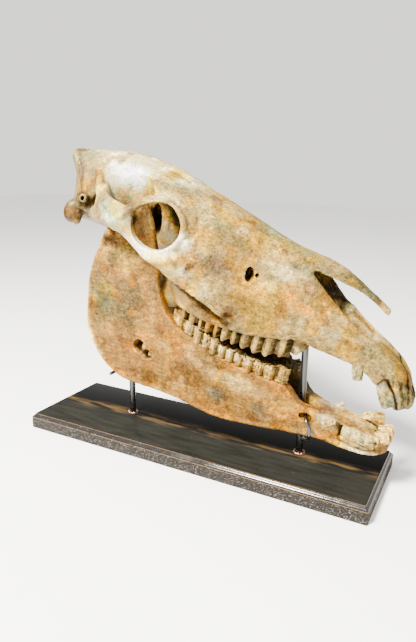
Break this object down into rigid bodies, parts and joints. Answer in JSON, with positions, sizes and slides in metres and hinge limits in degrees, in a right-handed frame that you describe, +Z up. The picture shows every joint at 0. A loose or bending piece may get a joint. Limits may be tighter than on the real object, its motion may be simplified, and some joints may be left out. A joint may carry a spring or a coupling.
{
  "type": "mounted horse skull",
  "caption": "Life-size museum model of a horse skull, nose down with the jaw a little open, on steel rods over a long black plinth.",
  "frame": {"origin": "centre of the plinth's underside", "axes": "+Z up, +X along the plinth towards the skull's nose, +Y to the animal's left"},
  "size_m": [0.5573, 0.2268, 0.4291],
  "materials": {
    "bone": "dry aged bone, tan to orange, satin on the vault",
    "pale_bone": "bleached bone, satin",
    "lacquer": "gloss black lacquered wood with gilt lines",
    "rod": "dark drawn steel",
    "weld": "copper-coloured weld bead"
  },
  "bodies": {
    "root": {"braincase": "pale_bone", "frontal_left": "bone", "frontal_right": "bone", "nasal_left": "bone", "nasal_right": "bone", "maxilla_left": "bone", "maxilla_right": "bone", "premaxilla_left": "bone", "premaxilla_right": "bone", "zygomatic_arch_left": "pale_bone", "zygomatic_arch_right": "pale_bone", "mandible_left": "bone", "mandible_right": "bone", "plinth": "lacquer", "rod_front": "rod", "rod_rear": "rod", "cross_bar": "rod", "jaw_hook": "rod", "weld_front": "weld", "weld_rear": "weld"}
  },
  "joints": []
}
